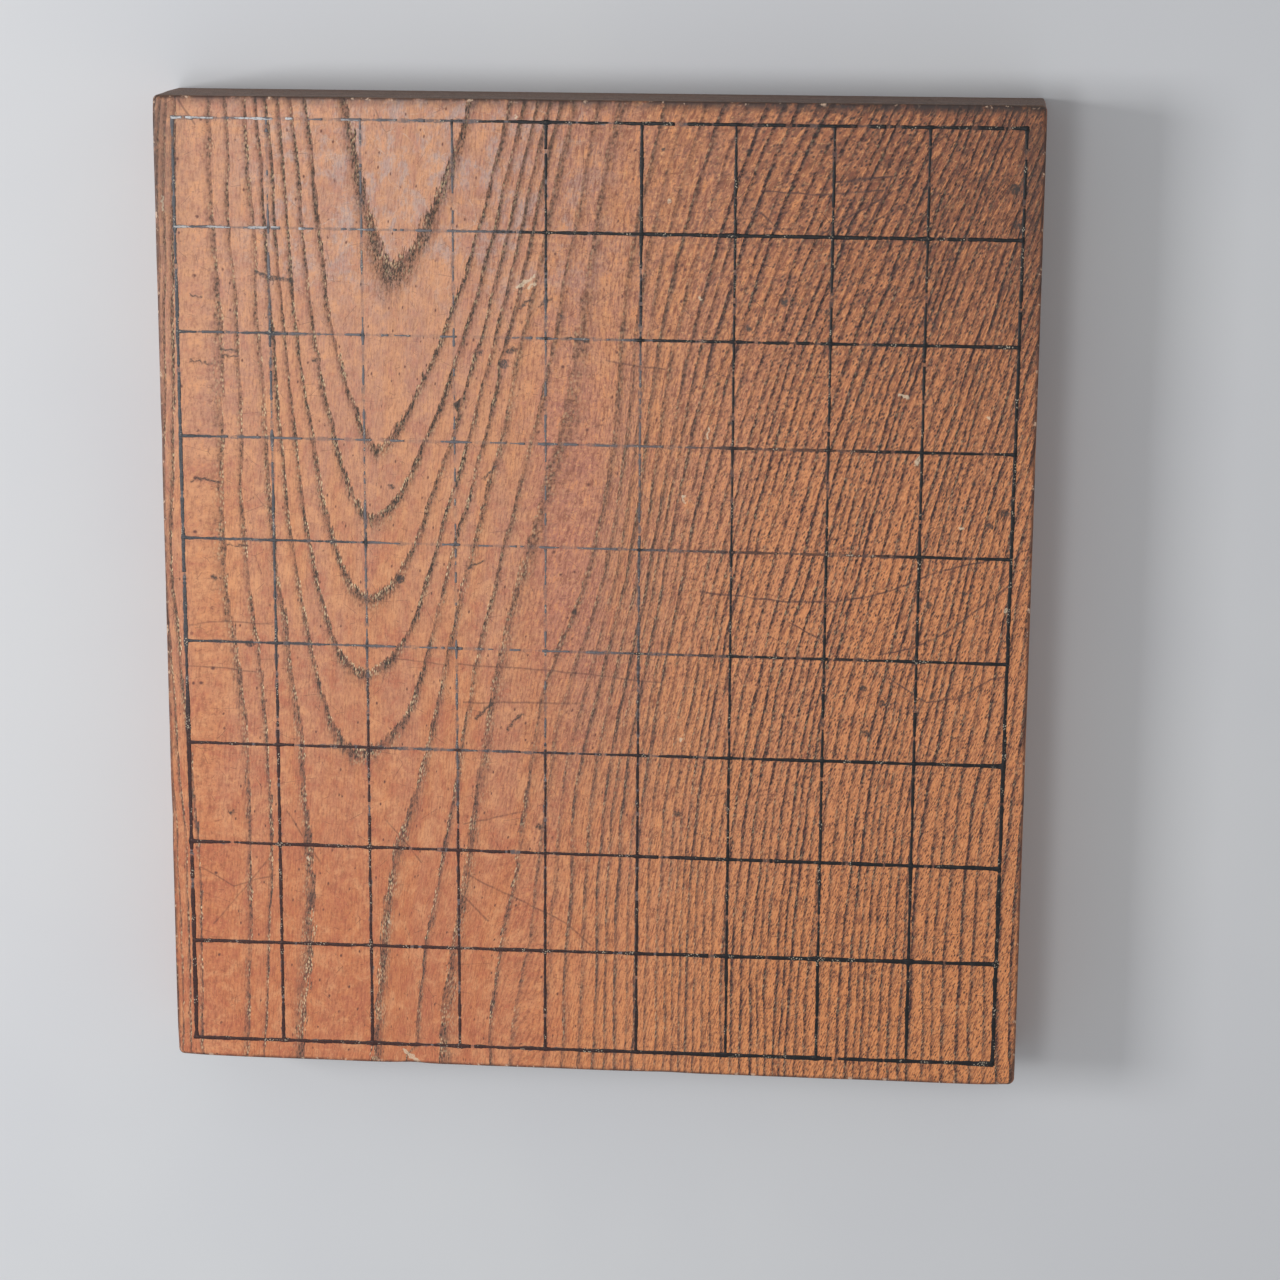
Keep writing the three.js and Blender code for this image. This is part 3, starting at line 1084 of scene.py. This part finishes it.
def wood_material():
    """Old ring-porous wood. Its ends are dark, partly from drinking the oil and partly painted shade."""
    wood = Wood()
    lay_ground(wood)
    far_tone_and_shade = lay_tones(wood)
    lay_fibres(wood, far_tone_and_shade)
    darkness = lay_bands(wood)
    dust = lay_dust(wood)
    lay_line_stains(wood)
    lay_scratches(wood)
    lay_marks(wood)
    lay_edges(wood)
    # Painted shade on the end grain: the ends darker, partly the oil they drink and partly shade.
    wood.coat((74, 60, 48), wood.end_grain, 0.68)
    roughness = wood.total(
        wood.remap(wood.mottle, 0.35, 0.7, 0.36, 0.5),
        wood.product(darkness, 0.22),
        wood.product(dust, 0.25),
        wood.product(wood.end_grain, 0.14),
    )
    height = wood.total(
        wood.product(darkness, -0.06),
        wood.product(wood.vein, 0.02),
        wood.product(wood.grit, 0.015),
    )
    return wood.surface(wood.colour, roughness, Normal=wood.bump(height), IOR=1.42)


def lacquer_material():
    """Black lacquer: semi-gloss, brown or grey where it is worn, with dust on it. Its far left is greyer,
    partly worn and partly painted sheen, with painted highlights on the ranks.
    """
    lacquer = Coats("worn_lacquer")
    place = lacquer.place
    depth, rank_highlight, _ = lacquer.parts(lacquer.attribute("wear_and_highlight"))
    fine = lacquer.noise(place, 0.8, 0.8, 3, 0.65)
    rubbed = lacquer.remap(lacquer.noise(place, 3, 3, 3), 0.5, 0.68)
    speck = lacquer.dots(place, 0.9, 0.9, 0.1, 0.36)
    speck_patch = lacquer.remap(lacquer.noise(place, 6, 6), 0.56, 0.7)
    lacquer.colour = lacquer.mix(lacquer.remap(fine, 0.3, 0.7), (9, 9, 11), (22, 22, 25))
    lacquer.coat((72, 66, 66), rubbed, 0.2)
    browned = lacquer.product(lacquer.across(70, -60), lacquer.along(20, -80))
    lacquer.coat((76, 46, 42), browned, lacquer.remap(fine, 0.3, 0.6, 0.3, 0.8))
    # Painted sheen: the lines greyer towards the far left, partly worn lacquer and partly a painted reflection.
    greyed_and_sheen = lacquer.product(lacquer.across(-40, -130), lacquer.along(-70, 10))
    lacquer.coat((92, 92, 96), greyed_and_sheen, lacquer.remap(fine, 0.3, 0.6, 0.35, 0.75))
    thin = lacquer.remap(lacquer.total(depth, lacquer.math("SUBTRACT", fine, 0.5)), 0.85, 0.1)
    thin_colour = lacquer.mix(lacquer.across(0, 70), (116, 112, 116), (112, 78, 64))
    lacquer.coat(thin_colour, thin, 0.85)
    # Painted highlight: pale streaks on the ranks towards the far left corner, where the glossy lacquer would
    # catch the light.
    highlight_dashes = lacquer.remap(lacquer.noise(place, 9, 2, 3, 0.6), 0.46, 0.56)
    lacquer.coat((198, 198, 200), rank_highlight, highlight_dashes, lacquer.remap(fine, 0.25, 0.5))
    lacquer.coat((200, 186, 164), speck, speck_patch, 0.85)
    roughness = lacquer.total(0.38, lacquer.product(rubbed, 0.2), lacquer.product(thin, 0.15))
    height = lacquer.product(fine, 0.02)
    return lacquer.surface(lacquer.colour, roughness, Normal=lacquer.bump(height), IOR=1.32)


def floor_material():
    """A pale matt floor with faint clouds."""
    floor = Coats("pale_floor")
    tone = floor.remap(floor.noise(floor.place, 180, 180, 3), 0.3, 0.7)
    return floor.surface(floor.mix(tone, (207, 209, 213), (210, 212, 215)), 0.85)


# The pieces.


def add_object(name, data):
    """Puts a mesh, a lamp or a camera in the scene."""
    made = bpy.data.objects.new(name, data)
    bpy.context.scene.collection.objects.link(made)
    return made


def add_piece(name, mesh, material, slot, *nodes):
    """Puts a mesh in the scene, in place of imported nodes."""
    piece = add_object(name, mesh)
    mesh.materials.append(material)
    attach(piece, "root")
    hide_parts(*nodes)


def add_board():
    """The plank, and every drawn line on it."""
    add_piece("worn_plank", plank_mesh(), wood_material(), "plank_wood", "board_plank")
    lacquer = lacquer_material()
    for travel, kind, strokes, crossed in ((1, "file", files, ranks), (0, "rank", ranks, files)):
        for index, stroke in enumerate(strokes):
            name = f"worn_{kind}_line_{index}"
            mesh = stroke_mesh(name, index, stroke, travel, crossed)
            add_piece(name, mesh, lacquer, "line_lacquer", f"{kind}_line_{index}")


# Floor, lamps and camera.


def add_floor():
    """A flat square floor, under the board."""
    mesh = bpy.data.meshes.new("floor")
    corners = [(-1, -1, 0), (1, -1, 0), (1, 1, 0), (-1, 1, 0)]
    mesh.from_pydata([Vector(corner) * floor_reach for corner in corners], [], [(0, 1, 2, 3)])
    mesh.materials.append(floor_material())
    add_object("floor", mesh)


def add_lamp(name, place, aim, width, power):
    """A soft square lamp that faces a point."""
    data = bpy.data.lights.new(name, "AREA")
    data.shape = "SQUARE"
    data.size = width
    data.energy = power
    lamp = add_object(name, data)
    lamp.location = place
    lamp.rotation_euler = (Vector(aim) - Vector(place)).to_track_quat("-Z", "Y").to_euler()


def add_world():
    """A surround that lights the board evenly, and that cameras and reflections see nearly white."""
    world = bpy.data.worlds.new("surround")
    bpy.context.scene.world = world
    graph = Graph(world)
    seen = graph.node("ShaderNodeBackground", {"Color": srgb(*surround_colour)})
    lit = graph.node("ShaderNodeBackground", {"Color": (1, 1, 1, 1), "Strength": surround_strength})
    rays = graph.node("ShaderNodeLightPath", {}).node.outputs
    is_seen = graph.largest(*(rays[f"Is {kind} Ray"] for kind in ("Camera", "Transmission", "Glossy")))
    graph.end("ShaderNodeOutputWorld", graph.node("ShaderNodeMixShader", {0: is_seen, 1: lit, 2: seen}))


def add_camera():
    """The camera, at the photograph's viewpoint."""
    data = bpy.data.cameras.new("camera")
    data.lens = camera_lens
    data.sensor_width = sensor_width
    camera = add_object("camera", data)
    camera.location = camera_place
    camera.rotation_euler = [math.radians(turn) for turn in camera_turn]
    bpy.context.scene.camera = camera


add_board()
add_floor()
for name, lamp in lamps.items():
    add_lamp(name, *lamp)
add_world()
add_camera()
bpy.context.scene.view_settings.view_transform = "Standard"
